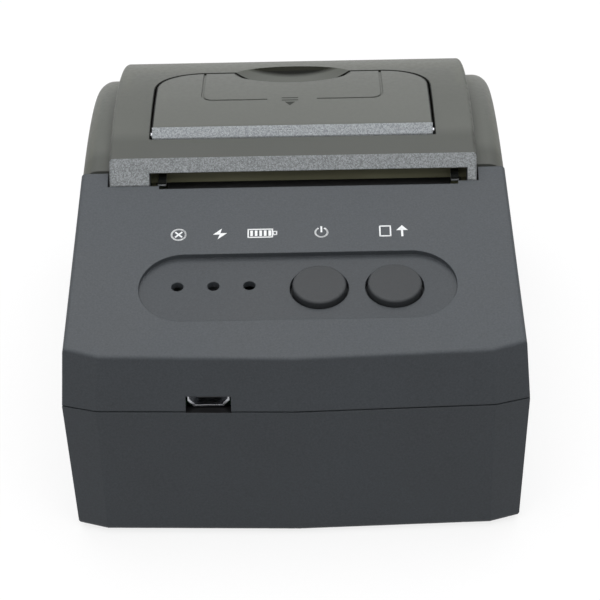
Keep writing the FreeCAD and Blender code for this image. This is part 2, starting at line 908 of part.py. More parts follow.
def tact_switches():
    corner = Vec(-switch_width / 2, -switch_width / 2, -key_board_drop)
    body = Part.makeBox(switch_width, switch_width, switch_height, corner)
    body = body.cut(disc(plunger_radius + seat_gap, switch_floor, beyond))
    return Part.makeCompound([on_panel(body, x, button_depth) for x in button_places])


def plunger(x):
    low = switch_floor + button_travel + fit_gap
    return on_panel(disc(plunger_radius, low, stem_foot), x, button_depth)


def status_lights():
    top = light_body - key_board_drop
    lens = Part.makeSphere(light_radius, Vec(0, 0, top))
    light = joined([disc(light_radius, -key_board_drop, top), lens])
    return Part.makeCompound([on_panel(light, x, light_depth) for x in light_places])


def button(x):
    sunk = deck_height(button_depth) - panel_floor(button_depth)
    shelf = sunk * math.cos(deck_slope) - wall - button_travel
    cap = disc(button_radius, shelf, button_proud)
    cap = cap.common(Part.makeSphere(button_crown, Vec(0, 0, button_proud - button_crown)))
    flange = disc(button_radius + button_flange, shelf - flange_thickness, shelf)
    stem = disc(stem_radius, stem_foot, shelf)
    solid = joined([cap, flange, stem])
    rim = [edge for edge in solid.Edges if edge.Closed and edge.BoundBox.ZMin > button_proud / 2]
    return on_panel(solid.makeFillet(button_edge_round, rim), x, button_depth)


# Gears
def involute(angle):
    return math.tan(angle) - angle


def gear(teeth, centre, x0, x1, phase, bore):
    pitch = gear_module * teeth / 2
    base = pitch * math.cos(pressure_angle)
    foot = pitch - dedendum * gear_module
    tip = pitch + gear_module
    half = math.pi / (2 * teeth) - backlash / (2 * pitch)
    low = max(base, foot)
    flank = []
    steps = 3
    for step in range(steps + 1):
        radius = low + (tip - low) * step / steps
        turn = half + involute(pressure_angle) - involute(math.acos(base / radius))
        flank.append((radius, turn))
    if foot < base:
        flank.insert(0, (foot, flank[0][1]))
    outline = []
    for tooth in range(teeth):
        middle = phase + 2 * math.pi * tooth / teeth
        outline += [on_circle(centre, radius, middle - turn) for radius, turn in flank]
        outline += [on_circle(centre, radius, middle + turn) for radius, turn in reversed(flank)]
    return prism(outline, x0, x1).cut(rod(x0 - beyond, x1 + beyond, centre[0], centre[1], bore))


def compound_gear():
    bore = stud_radius + running_gap
    wheel = gear(wheel_teeth, wheel_centre, wheel_x0, wheel_x1, motor_angle, bore)
    small = gear(small_teeth, wheel_centre, wheel_x1 - root, small_x1, train_angle, bore)
    return joined([wheel, small])


def platen_gear():
    phase = train_angle + math.pi + math.pi / platen_teeth
    return gear(platen_teeth, platen_centre, small_x0, small_x1, phase, shaft_radius)


def motor_pinion():
    phase = motor_angle + math.pi + math.pi / pinion_teeth
    return gear(pinion_teeth, motor_centre, wheel_x0, wheel_x1, phase, motor_shaft_radius)


def gear_stud():
    head_x = wheel_x0 - fit_gap
    end = head_x - stud_head_width
    pin = rod(end, frame_inner_left, wheel_depth, wheel_height, stud_radius)
    return joined([pin, rod(end, head_x, wheel_depth, wheel_height, stud_radius + stud_head)])


# Printing mechanism
def lid_exit(depth, height):
    # unit direction in which a point of the lid first moves as the lid opens
    back, up = depth - hinge_depth, height - hinge_height
    length = math.hypot(back, up)
    return (up / length, -back / length)


def platen_notch(x0, x1):
    radius = bushing_radius + seat_gap
    along = lid_exit(platen_depth, platen_height)
    across = (along[1], -along[0])
    corners = []
    for reach, width in ((0, -radius), (0, radius), (notch_reach, radius + notch_front_flare),
                         (notch_reach, -radius - notch_rear_flare)):
        corners.append((platen_depth + across[0] * width + along[0] * reach,
                        platen_height + across[1] * width + along[1] * reach))
    return joined([rod(x0, x1, platen_depth, platen_height, radius), prism(corners, x0, x1)])


def paper_guide():
    middle = (guide_first + guide_last) / 2
    inner = [on_circle(platen_centre, guide_inner, angle) for angle in (guide_first, middle, guide_last)]
    outer = [on_circle(platen_centre, guide_outer, angle) for angle in (guide_last, middle, guide_first)]
    steps = [(inner[1], inner[2]), outer[0], (outer[1], outer[2])]
    return curved_prism(inner[0], steps, platen_left, platen_right)


def mechanism_frame():
    rear = platen_depth + frame_rear_reach
    mount_front = motor_depth - motor_radius - motor_mount_margin
    mount_rear = motor_depth + motor_radius + motor_mount_margin
    mount_low = motor_height - motor_radius - motor_mount_margin
    left = prism([(mount_front, mount_low), (mount_rear, mount_low), (rear, frame_foot), (rear, head_high),
                  (frame_wall_depth, head_high), (frame_wall_depth, frame_wall_low),
                  (mount_front, motor_height + motor_radius - frame_wall)], frame_left, frame_inner_left)
    right = prism([(frame_wall_depth, frame_foot), (rear, frame_foot), (rear, head_high),
                   (frame_wall_depth, head_high)], frame_inner_right, frame_right)
    front = block(frame_left, frame_right, frame_wall_depth, frame_wall_back, frame_wall_low, head_high)
    tie_back = platen_depth - tie_setback
    tie = block(frame_left, frame_right, tie_back - tie_depth, tie_back,
                platen_height - tie_drop, platen_height - guide_inner - guide_thickness / 2)
    adds = [left, right, front, paper_guide(), tie]
    for x in frame_lug_places:
        adds.append(block(x - frame_lug_half, x + frame_lug_half, frame_lug_depth - frame_lug_reach,
                          frame_wall_depth + root, frame_lug_top - frame_plate, frame_lug_top))
    tools = [platen_notch(frame_left - root, frame_inner_left + root),
             platen_notch(frame_inner_right - root, frame_right + root)]
    past = frame_inner_left + root
    tools.append(rod(frame_left - root, past, wheel_depth, wheel_height, stud_radius))
    tools.append(rod(frame_left - root, past, motor_depth, motor_height, motor_shaft_radius + fit_gap))
    pivot_hole = head_pivot_radius + running_gap
    tools.append(rod(frame_left - root, frame_right + root, head_pivot_depth, head_pivot_height, pivot_hole))
    tools += [post(x, frame_lug_depth, 0, top_height, clear_radius) for x in frame_lug_places]
    return less(joined(adds), tools)


def frame_screws():
    seat = frame_lug_top - frame_plate
    length = frame_plate + frame_screw_grip
    return Part.makeCompound([screw(x, frame_lug_depth, seat, length, 1) for x in frame_lug_places])


def head_plate():
    left, right = platen_left + head_end_gap, platen_right - head_end_gap
    plate = block(left, right, head_back, head_back + head_thickness, head_low, head_high)
    pivot = rod(frame_left + root, frame_right - root, head_pivot_depth, head_pivot_height, head_pivot_radius)
    return joined([plate, pivot])


def head_strip():
    return block(platen_left + ceramic_end_gap, platen_right - ceramic_end_gap, head_back + head_thickness,
                 head_face, platen_height - ceramic_drop, head_high - head_end_gap)


def head_springs():
    # bowed leaves between the frame's front wall and the back of the head
    foot = frame_wall_back + running_gap
    tip = head_back - running_gap
    low, high = platen_height - leaf_half_height, platen_height + leaf_half_height
    inner_low, inner_high = low + 2 * leaf_thickness, high - 2 * leaf_thickness
    leaves = []
    for side in (-1, 1):
        x = paper_offset + side * paper_width * leaf_share
        steps = [((tip, platen_height), (foot, high)), (foot, inner_high),
                 ((tip - leaf_thickness, platen_height), (foot, inner_low))]
        leaves.append(curved_prism((foot, low), steps, x - leaf_width / 2, x + leaf_width / 2))
    return Part.makeCompound(leaves)


def platen_rubber():
    left, right = platen_left + platen_end_gap, platen_right - platen_end_gap
    return rod(left, right, platen_depth, platen_height, platen_radius).cut(
        rod(platen_left, platen_right, platen_depth, platen_height, shaft_radius))


def platen_shaft():
    return rod(small_x0 - root, frame_right + gear_step, platen_depth, platen_height, shaft_radius)


def platen_bushings():
    left = rod(frame_left, arm_left + arm_thickness, platen_depth, platen_height, bushing_radius)
    right = rod(arm_right, frame_right, platen_depth, platen_height, bushing_radius)
    bore = rod(frame_left - root, frame_right + root, platen_depth, platen_height, shaft_radius + running_gap)
    return Part.makeCompound([left.cut(bore), right.cut(bore)])


def motor():
    start = frame_inner_left
    end = start + motor_length
    can = rod(start, end, motor_depth, motor_height, motor_radius)
    cap = rod(end, end + motor_cap, motor_depth, motor_height, motor_radius - motor_cap_step)
    middle = (start + end) / 2
    plug = block(middle - motor_plug_width / 2, middle + motor_plug_width / 2,
                 motor_depth - motor_radius - motor_plug_reach, motor_depth,
                 motor_height - motor_plug_height / 2, motor_height + motor_plug_height / 2)
    bore = rod(start - root, start + motor_shaft_grip + fit_gap, motor_depth, motor_height,
               motor_shaft_radius + running_gap)
    return joined([can, cap, plug]).cut(bore)


def motor_shaft():
    return rod(wheel_x0 - gear_step, frame_inner_left + motor_shaft_grip, motor_depth, motor_height,
               motor_shaft_radius)


def paper_sensor():
    seat = platen_depth - tie_setback
    top = platen_height - guide_outer - fit_gap
    right = platen_right - sensor_inset
    return block(right - sensor_width, right, seat, seat + sensor_depth, top - sensor_height, top)


# Lid and flap
def is_brow(edge):
    # the curved edges where the roof meets a side wall
    box = edge.BoundBox
    off_centre = min(abs(box.XMin), abs(box.XMax)) > band_half
    return off_centre and box.ZMax > foot_height + lid_side + shoulder_round and box.YLength > rear_round / 2


def is_band_edge(edge):
    # edges in the side planes of the band that aren't its bottom or its upright ends
    box = edge.BoundBox
    in_side = box.XLength < running_gap
    return in_side and box.YLength > running_gap and box.ZLength > running_gap


def lid_shoulders():
    outside = case_block(seam_height, top_height)
    body = shoulder_dome(0.0, lid_line + lid_gap).common(outside)
    body = body.makeFillet(shoulder_round, [edge for edge in body.Edges if is_brow(edge)])
    return body.common(wide_block(0, rear_depth + beyond, lid_side, top_height))


def lid_band():
    # raised band with its bevelled front strip
    start = strip_foot + strip_run
    band = band_dome(0.0, start, hinge_height, band_half)
    strip_top = band_height(start)
    bow = [(strip_foot, strip_low), (strip_foot, strip_height), (start, strip_top),
           (cavity_front, strip_top), (cavity_front, strip_low)]
    body = joined([band, prism(bow, -band_half, band_half)])
    return body.makeFillet(band_edge_round, [edge for edge in body.Edges if is_band_edge(edge)])


def lid_hollow():
    inside = case_block(seam_height, top_height, wall)
    middle = shoulder_dome(wall, cavity_front)
    sides = shoulder_dome(wall, lid_line - wall / 2)
    sides = sides.cut(block(-band_half, band_half, 0, cavity_front, 0, top_height))
    band = band_dome(wall, cavity_front, 0.0, band_half - wall)
    return joined([joined([middle, sides]).common(inside), band])


def platen_arms():
    roof = band_dome(wall / 2, cavity_front - guide_wall / 2, 0.0, band_half)
    arms = []
    for x in (arm_left, arm_right):
        end = x + arm_thickness
        boss = rod(x, end, platen_depth, platen_height, bushing_radius + arm_boss)
        rib = prism([(platen_depth - arm_half, platen_height), (platen_depth + arm_half, platen_height),
                     (platen_depth + arm_half + arm_flare, top_height), (platen_depth - arm_half, top_height)],
                    x, end)
        arms.append(joined([boss, rib]).common(roof))
    return arms


def edge_lugs():
    # low lugs at both ends of the paper slot
    lugs = []
    for x in (slot_left + lug_inset, slot_right - lug_inset - lug_length):
        lugs.append(block(x, x + lug_length, strip_foot + fit_gap, guide_depth + root,
                          strip_height - lug_height / 2, strip_height + lug_height / 2))
    return lugs


def lid_shell():
    outer = joined([lid_shoulders(), lid_band()])
    shell = outer.cut(lid_hollow())
    shell = shell.cut(wide_block(0, cavity_front, 0, strip_low))
    shell = shell.cut(block(slot_left, slot_right, 0, guide_depth, 0, slot_roof))
    barrel = rod(-band_half, band_half, hinge_depth, hinge_height, barrel_radius)
    adds = [shell, barrel, flap_tub(), scoop(scoop_wall).common(outer)]
    body = joined(adds + platen_arms() + edge_lugs())
    tools = [flap_pocket(), scoop(0.0)]
    for x in (arm_left, arm_right):
        tools.append(rod(x - root, x + arm_thickness + root, platen_depth, platen_height, bushing_radius))
    pin_end = band_half - hinge_pin_grip
    for x0, x1 in ((-band_half - root, -pin_end), (pin_end, band_half + root)):
        tools.append(rod(x0, x1, hinge_depth, hinge_height, hinge_pin_radius))
    bore = flap_pin_radius + running_gap
    reach = flap_half + flap_gap + flap_pin_reach + seat_gap
    tools.append(rod(-reach, reach, flap_pin_depth, flap_pin_height, bore))
    return less(body, tools)


def rounded_plan(half, near, far, turn, rear):
    # upright solid with rounded corners at its rear or at its front
    body = block(-half, half, near, far, 0, top_height)
    line = front_y + (far if rear else near)
    corners = [edge for edge in body.Edges
               if edge.BoundBox.ZLength > turn and abs(edge.BoundBox.YMin - line) < running_gap]
    return body.makeFillet(turn, corners)


def flap_plan(grow):
    return rounded_plan(flap_half + grow, flap_front - grow, flap_rear + grow, flap_corner + grow, True)


def band_slab(low_sink, high_sink, half_width):
    # slab that follows the band's roof from in front of the flap to behind it, sunk below its surface
    first, last = flap_front - wall, flap_rear + 2 * wall
    middle = (first + last) / 2

    def place(depth, sink):
        return (depth, band_height(depth, sink))

    steps = [(place(middle, low_sink), place(last, low_sink)), place(last, high_sink),
             (place(middle, high_sink), place(first, high_sink))]
    return curved_prism(place(first, low_sink), steps, -half_width, half_width)


def flap_tub():
    floor = flap_thickness + flap_gap + flap_floor
    return band_slab(floor, wall / 2, band_half - wall / 2).common(flap_plan(flap_gap + flap_rim))


def flap_pocket():
    return band_slab(flap_thickness + flap_gap, -flap_length / 4, band_half).common(flap_plan(flap_gap))


def scoop(grow):
    # barrel shaped dent across the rear edge of the flap
    half = scoop_width / 2 + grow
    belly = (scoop_length ** 2 / 4 + scoop_depth ** 2) / (2 * scoop_depth) + grow
    neck = belly - scoop_depth - grow
    axis = band_height(flap_rear) + neck
    left, right = point(-half, flap_rear, axis), point(half, flap_rear, axis)
    low_left, low_right = left - Vec(0, 0, neck + grow), right - Vec(0, 0, neck + grow)
    arc = Part.Arc(low_left, point(0, flap_rear, axis - belly), low_right).toShape()
    sides = [Part.makeLine(left, low_left), arc, Part.makeLine(low_right, right), Part.makeLine(right, left)]
    return Part.Face(Part.Wire(sides)).revolve(left, Vec(1, 0, 0), 360)


def flap_form():
    # everything under the flap's outer faces, with its front face leaning back
    low = flap_pin_height - flap_thickness - wall
    surface = band_height(flap_front)
    top_front = (flap_front + flap_lean, surface + flap_proud)
    top_rear = (flap_rear, band_height(flap_rear))
    middle = ((top_front[0] + top_rear[0]) / 2, (top_front[1] + top_rear[1]) / 2 + flap_arch)
    steps = [(flap_front, surface), top_front, (middle, top_rear), (flap_rear, low)]
    return curved_prism((flap_front, low), steps, -flap_half, flap_half)


def flap_groove():
    # fine engraved line, open at the rear and broken in the middle
    half = flap_half - groove_margin
    near = flap_rear - groove_reach
    outer = rounded_plan(half, near, flap_rear + beyond, groove_corner, False)
    inner = rounded_plan(half - groove_width, near + groove_width, flap_rear + beyond,
                         groove_corner - groove_width, False)
    gap = block(-groove_break / 2, groove_break / 2, 0, flap_rear, 0, top_height)
    sunk = flap_form()
    sunk.translate(Vec(0, 0, -groove_depth))
    return less(outer, [inner, gap, sunk])


def lid_flap():
    body = flap_form().common(band_slab(flap_thickness, -flap_length / 4, band_half)).common(flap_plan(0.0))
    below = flap_pin_height - flap_length
    coil_half = flap_spring_length / 2 + flap_spring_wire + fit_gap
    coil_reach = flap_spring_radius + flap_spring_wire + fit_gap
    room = block(-coil_half, coil_half, flap_pin_depth - coil_reach, flap_pin_depth + coil_reach + root,
                 below, flap_pin_height + coil_reach)
    ahead = flap_front - beyond
    chin = flap_pin_height - nose_drop
    nose = prism([(ahead, below), (ahead, chin), (flap_front, chin),
                  (flap_pin_depth, flap_pin_height - nose_foot), (flap_pin_depth, below)],
                 -case_width, case_width)
    bore = rod(-flap_half - root, flap_half + root, flap_pin_depth, flap_pin_height, flap_pin_radius)
    return less(body, [scoop(0.0), flap_groove(), nose, room, bore])


def flap_pin():
    reach = flap_half + flap_gap + flap_pin_reach
    return rod(-reach, reach, flap_pin_depth, flap_pin_height, flap_pin_radius)


def flap_spring():
    path = Part.makeHelix(flap_spring_length / flap_spring_turns, flap_spring_length, flap_spring_radius)
    wire = Part.makeCircle(flap_spring_wire, Vec(flap_spring_radius, 0, 0), Vec(0, 1, 0))
    spring = Part.Wire(path.Edges).makePipeShell([Part.Wire(wire)], True, False)
    start = point(-flap_spring_length / 2, flap_pin_depth, flap_pin_height)
    spring.Placement = FreeCAD.Placement(start, FreeCAD.Rotation(Vec(0, 1, 0), 90))
    return spring


def hinge_pins():
    inner = band_half - hinge_pin_grip
    outer = ear_face + hinge_pin_reach
    return Part.makeCompound([rod(inner, outer, hinge_depth, hinge_height, hinge_pin_radius),
                              rod(-outer, -inner, hinge_depth, hinge_height, hinge_pin_radius)])


pieces = {
    "lower_case": lower_case,
    "battery_door": battery_door,
    "battery_door_screw": battery_door_screw,
    "battery_pack": battery_pack,
    "rubber_feet": rubber_feet,
    "case_screws": case_screws,
    "board_screws": board_screws,
    "upper_case": upper_case,
    "tear_bar": tear_bar,
    "paper_bin": paper_bin,
    "main_board": main_board,
    "board_components": board_components,
    "usb_shell": usb_shell,
    "usb_tongue": usb_tongue,
    "key_board": key_board,
    "key_screws": key_screws,
    "tact_switches": tact_switches,
    "power_plunger": lambda: plunger(button_places[0]),
    "feed_plunger": lambda: plunger(button_places[1]),
    "status_lights": status_lights,
    "power_button": lambda: button(button_places[0]),
    "feed_button": lambda: button(button_places[1]),
    "compound_gear": compound_gear,
    "platen_gear": platen_gear,
    "motor_pinion": motor_pinion,
    "gear_stud": gear_stud,
    "mechanism_frame": mechanism_frame,
    "frame_screws": frame_screws,
    "head_plate": head_plate,
    "head_strip": head_strip,
    "head_springs": head_springs,
    "platen_rubber": platen_rubber,
    "platen_shaft": platen_shaft,
    "platen_bushings": platen_bushings,
    "motor": motor,
    "motor_shaft": motor_shaft,
    "paper_sensor": paper_sensor,
    "lid_shell": lid_shell,
    "lid_flap": lid_flap,
    "flap_pin": flap_pin,
    "flap_spring": flap_spring,
    "hinge_pins": hinge_pins,
}

os.makedirs("parts", exist_ok=True)
for name, make in pieces.items():
    make().exportStep("parts/" + name + ".step")
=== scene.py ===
import bpy
import bmesh
import json
import math
from mathutils import Matrix, Vector


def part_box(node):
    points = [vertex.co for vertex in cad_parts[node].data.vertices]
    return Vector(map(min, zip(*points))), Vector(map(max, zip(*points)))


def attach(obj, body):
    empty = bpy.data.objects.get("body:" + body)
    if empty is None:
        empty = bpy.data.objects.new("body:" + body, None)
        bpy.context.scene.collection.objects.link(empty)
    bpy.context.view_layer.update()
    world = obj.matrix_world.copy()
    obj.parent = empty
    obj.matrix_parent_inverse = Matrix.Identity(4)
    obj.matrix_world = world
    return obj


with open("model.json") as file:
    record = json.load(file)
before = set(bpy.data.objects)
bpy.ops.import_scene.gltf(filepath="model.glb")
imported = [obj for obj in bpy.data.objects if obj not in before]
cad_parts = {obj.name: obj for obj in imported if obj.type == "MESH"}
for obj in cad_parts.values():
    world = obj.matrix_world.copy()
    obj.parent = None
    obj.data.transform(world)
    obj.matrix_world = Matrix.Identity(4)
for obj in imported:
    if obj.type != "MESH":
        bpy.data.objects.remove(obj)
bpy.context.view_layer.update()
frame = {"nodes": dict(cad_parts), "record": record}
nodes = frame["nodes"]
scene = bpy.context.scene
bpy.context.view_layer.update()

# Depths run back from the front face and heights up from the case's bottom, in millimetres
MM = 0.001
FRONT_Y = -52.8
FOOT = 0.8

# Places on the case that get painted shade
USB_X = -15.95
USB_NOTCH_HALF = 4.2
USB_LEDGE_REAR = 8.0
USB_LEDGE_LOW = 13.2
USB_LEDGE_HIGH = 31.2
RECESS_REAR = 30.0
RECESS_LOW = 34.2
RECESS_SHADE = 0.2

# Places on the lid
FLAP_HALF = 27.5
FLAP_FRONT = 51.6
FLAP_REAR = 80.2
FLAP_CORNER = 9.5
FLAP_GAP = 0.4
FLAP_LINE_HALF = 0.36
FLAP_LINE_FADE = 0.5
SCOOP_FRONT = 80.6
SLOT_X = 3.0
SLOT_HALF = 30.85
SLOT_TOP = 53.1
SLOT_WALL_FRONT = 46.9
SLOT_WALL_REAR = 48.6
LUG_SHADE_LOW = 51.15
LID_FROST_REAR = 46.14
FLAP_FROST_REAR = 52.94
# painted shade over the lid's front band, fading out across the flap's front edge
PAINTED_INSIDE_SHADE_FRONT = 51.0
PAINTED_INSIDE_SHADE_REAR = 54.0
PAINTED_INSIDE_SHADE = 0.27

# Signs on the deck and flap
SIGN_DEPTH = 29.0
SIGN_TALL = 2.7
SIGN_LINE = 0.34
SIGN_LIFT = 0.02
DROP_HEIGHT = 100.0
FAULT_X = -21.8
BATTERY_X = -8.6
BATTERY_BARS = 5
BATTERY_BAR_STEP = 0.86
POWER_X = 5.3
ARROW_X = 20.6

# Screw heads under the case
SCREW_HEAD = 1.8
SCREW_SLICE = 0.05
CROSS_REACH = 0.95
CROSS_HALF = 0.17

# Stage
FLOOR_HALF = 3.0
FLOOR_DROP = 0.02
FLOOR_WHITE = 0.8
WHITE = (1.0, 1.0, 1.0, 1.0)
FILL = (0.13, 0.13, 0.135, 1.0)
LIGHT_AIM = Vector((0.0, 0.0, 0.03))
LIGHTS = (
    ("top_box", (0.0, 0.22, 0.9), (1.2, 0.9), 8.4),
    ("front_box", (0.0, -0.55, 0.85), (1.0, 0.5), 5.0),
    ("left_box", (-0.7, -0.5, 0.35), (0.5, 0.6), 1.2),
    ("right_box", (0.7, -0.5, 0.35), (0.5, 0.6), 1.1),
)

# Camera as in the photograph
CAMERA_PLACE = Vector((4.245, -360.233, 261.127)) * MM
CAMERA_AZIMUTH = 0.00981
CAMERA_ELEVATION = math.radians(34.0)
CAMERA_ROLL = -0.02386
CAMERA_SENSOR = 36.0
CAMERA_LENS = 126.1


def place(x, depth, height):
    return Vector((x, FRONT_Y + depth, FOOT + height)) * MM


def rgb(red, green, blue):
    def linear(value):
        value /= 255.0
        return value / 12.92 if value <= 0.04045 else ((value + 0.055) / 1.055) ** 2.4
    return (linear(red), linear(green), linear(blue), 1.0)


# Node graphs of the world and of materials
class Graph:
    def __init__(self, tree, output):
        self.tree = tree
        self.tree.nodes.clear()
        self.output = self.node(output)

    def node(self, kind, **settings):
        made = self.tree.nodes.new(kind)
        for key, value in settings.items():
            setattr(made, key, value)
        return made

    def feed(self, socket, value):
        if isinstance(value, bpy.types.NodeSocket):
            self.tree.links.new(value, socket)
        else:
            socket.default_value = value

    def math(self, kind, a, b=0.0):
        made = self.node("ShaderNodeMath", operation=kind)
        self.feed(made.inputs[0], a)
        self.feed(made.inputs[1], b)
        return made.outputs[0]

    def all_of(self, first, *others):
        for other in others:
            first = self.math("MULTIPLY", first, other)
        return first

    def any_of(self, first, *others):
        for other in others:
            first = self.math("MAXIMUM", first, other)
        return first

    def light(self, kind, colour):
        made = self.node(kind)
        self.feed(made.inputs["Color"], colour)
        if "Strength" in made.inputs:
            self.feed(made.inputs["Strength"], 1.0)
        return made.outputs[0]

    def mixed(self, factor, a, b):
        made = self.node("ShaderNodeMixShader")
        self.feed(made.inputs["Fac"], factor)
        self.feed(made.inputs[1], a)
        self.feed(made.inputs[2], b)
        return made.outputs[0]

    def shows_background(self):
        # 1 for the rays that see the white background: the camera's, and those that metal and glass send
        path = self.node("ShaderNodeLightPath").outputs
        return self.any_of(path["Is Camera Ray"], path["Is Glossy Ray"], path["Is Transmission Ray"])

    def done(self, surface):
        self.feed(self.output.inputs["Surface"], surface)


class Shader(Graph):
    def __init__(self, name):
        self.material = bpy.data.materials.new(name)
        self.material.use_nodes = True
        super().__init__(self.material.node_tree, "ShaderNodeOutputMaterial")
        self.coords = self.node("ShaderNodeTexCoord").outputs["Object"]

    def noise(self, size_mm, detail=2.0, rough=0.5):
        made = self.node("ShaderNodeTexNoise")
        self.feed(made.inputs["Vector"], self.coords)
        self.feed(made.inputs["Scale"], 1.0 / (size_mm * MM))
        self.feed(made.inputs["Detail"], detail)
        self.feed(made.inputs["Roughness"], rough)
        return made.outputs["Fac"]

    def cells(self, size_mm):
        made = self.node("ShaderNodeTexVoronoi")
        self.feed(made.inputs["Vector"], self.coords)
        self.feed(made.inputs["Scale"], 1.0 / (size_mm * MM))
        return made.outputs["Color"]

    def spread(self, value, low, high, to_low, to_high):
        made = self.node("ShaderNodeMapRange")
        for socket, part in zip(made.inputs, (value, low, high, to_low, to_high)):
            self.feed(socket, part)
        return made.outputs["Result"]

    def middle(self, value, to_low, to_high):
        # a noise's usual range, spread over another one
        return self.spread(value, 0.3, 0.7, to_low, to_high)

    def blend(self, factor, a, b):
        made = self.node("ShaderNodeMix", data_type="RGBA")
        self.feed(made.inputs["Factor"], factor)
        self.feed(made.inputs["A"], a)
        self.feed(made.inputs["B"], b)
        return made.outputs["Result"]

    def part_of(self, vector, axis):
        made = self.node("ShaderNodeSeparateXYZ")
        self.feed(made.inputs[0], vector)
        return made.outputs[axis]

    def axis(self, name):
        return self.part_of(self.coords, name)

    def facing(self, name):
        return self.part_of(self.node("ShaderNodeTexCoord").outputs["Normal"], name)

    def before(self, depth):
        return self.math("LESS_THAN", self.axis("Y"), (FRONT_Y + depth) * MM)

    def behind(self, depth):
        return self.math("GREATER_THAN", self.axis("Y"), (FRONT_Y + depth) * MM)

    def below(self, height):
        return self.math("LESS_THAN", self.axis("Z"), (FOOT + height) * MM)

    def above(self, height):
        return self.math("GREATER_THAN", self.axis("Z"), (FOOT + height) * MM)

    def beside(self, x, half):
        off_centre = self.math("ABSOLUTE", self.math("SUBTRACT", self.axis("X"), x * MM))
        return self.math("LESS_THAN", off_centre, half * MM)

    def bump(self, height, strength, distance_mm, edge_mm=0.0):
        made = self.node("ShaderNodeBump")
        self.feed(made.inputs["Height"], height)
        self.feed(made.inputs["Strength"], strength)
        self.feed(made.inputs["Distance"], distance_mm * MM)
        if edge_mm:
            edge = self.node("ShaderNodeBevel", samples=4)
            self.feed(edge.inputs["Radius"], edge_mm * MM)
            self.feed(made.inputs["Normal"], edge.outputs["Normal"])
        return made.outputs["Normal"]

    def surface(self, colour, roughness, normal=None, **extra):
        made = self.node("ShaderNodeBsdfPrincipled")
        self.feed(made.inputs["Base Color"], colour)
        self.feed(made.inputs["Roughness"], roughness)
        if normal is not None:
            self.feed(made.inputs["Normal"], normal)
        for key, value in extra.items():
            self.feed(made.inputs[key.replace("_", " ")], value)
        return made.outputs["BSDF"]

    def done(self, surface):
        super().done(surface)
        return self.material


# Painted shade and painted light that belong to a place on the part
def socket_ledge(s):
    # 1 on the ledge under the USB socket, which lies in the shade of its notch and gets painted shade
    level = s.all_of(s.above(USB_LEDGE_LOW), s.below(USB_LEDGE_HIGH))
    upward = s.math("GREATER_THAN", s.facing("Z"), 0.6)
    return s.all_of(s.beside(USB_X, USB_NOTCH_HALF), s.before(USB_LEDGE_REAR), level, upward)


def case_shade(s):
    # painted shade on the socket's ledge, and a little painted shade on the flatter floor of the button recess
    level = s.math("GREATER_THAN", s.facing("Z"), 0.975)
    recess = s.all_of(level, s.before(RECESS_REAR), s.above(RECESS_LOW))
    return s.any_of(socket_ledge(s), s.math("MULTIPLY", recess, RECESS_SHADE))


def flap_gap_painted_shade(s):
    # 1 along the gap round the flap, which is a box with rounded rear corners; this line gets painted shade
    past_x = s.math("SUBTRACT", s.math("ABSOLUTE", s.axis("X")), (FLAP_HALF - FLAP_CORNER) * MM)
    past_y = s.math("SUBTRACT", s.axis("Y"), (FRONT_Y + FLAP_REAR - FLAP_CORNER) * MM)
    over_x, over_y = s.any_of(past_x, 0.0), s.any_of(past_y, 0.0)
    squares = s.math("ADD", s.all_of(over_x, over_x), s.all_of(over_y, over_y))
    within = s.math("MINIMUM", s.any_of(past_x, past_y), 0.0)
    reach = s.math("ADD", s.math("SQRT", squares), within)
    distance = s.math("ABSOLUTE", s.math("SUBTRACT", reach, (FLAP_CORNER + FLAP_GAP / 2) * MM))
    near = s.spread(distance, FLAP_LINE_HALF * MM, FLAP_LINE_FADE * MM, 1.0, 0.0)
    return s.all_of(near, s.behind(FLAP_FRONT))


def scoop_painted_shade(s):
    # 1 on the steep wall behind the finger scoop, which gets painted shade
    steep = s.spread(s.facing("Y"), -0.6, -0.48, 1.0, 0.0)
    return s.all_of(steep, s.behind(SCOOP_FRONT))


def slot_painted_tones(s):
    # 1 on the wall at the back of the paper slot, which lies in shade and gets painted light, and 1 on the
    # upper part of the lugs in it, which gets painted shade
    inside = s.all_of(s.below(SLOT_TOP), s.beside(SLOT_X, SLOT_HALF))
    behind = s.behind(SLOT_WALL_FRONT)
    wall = s.all_of(inside, behind, s.before(SLOT_WALL_REAR))
    lugs = s.all_of(inside, s.above(LUG_SHADE_LOW), s.math("SUBTRACT", 1.0, behind))
    return wall, lugs


# Materials
def moulded(name, light, dark, roughness, grain_mm=0.35, bump=0.25, edge_mm=0.25, specular=0.5, shade=None):
    # fine spark eroded plastic with a slow change of tone
    s = Shader(name)
    fine = s.noise(grain_mm, 3.0, 0.6)
    slow = s.noise(18.0)
    tone = s.math("ADD", s.math("MULTIPLY", fine, 0.7), s.math("MULTIPLY", slow, 0.3))
    colour = s.blend(s.middle(tone, 0.0, 1.0), dark, light)
    # painted shade toward near-black where the shade mask is set
    if shade:
        colour = s.blend(shade(s), colour, rgb(14, 14, 15))
    rough = s.middle(slow, roughness - 0.05, roughness + 0.06)
    normal = s.bump(fine, bump, 0.03, edge_mm)
    return s.done(s.surface(colour, rough, normal, Specular_IOR_Level=specular))


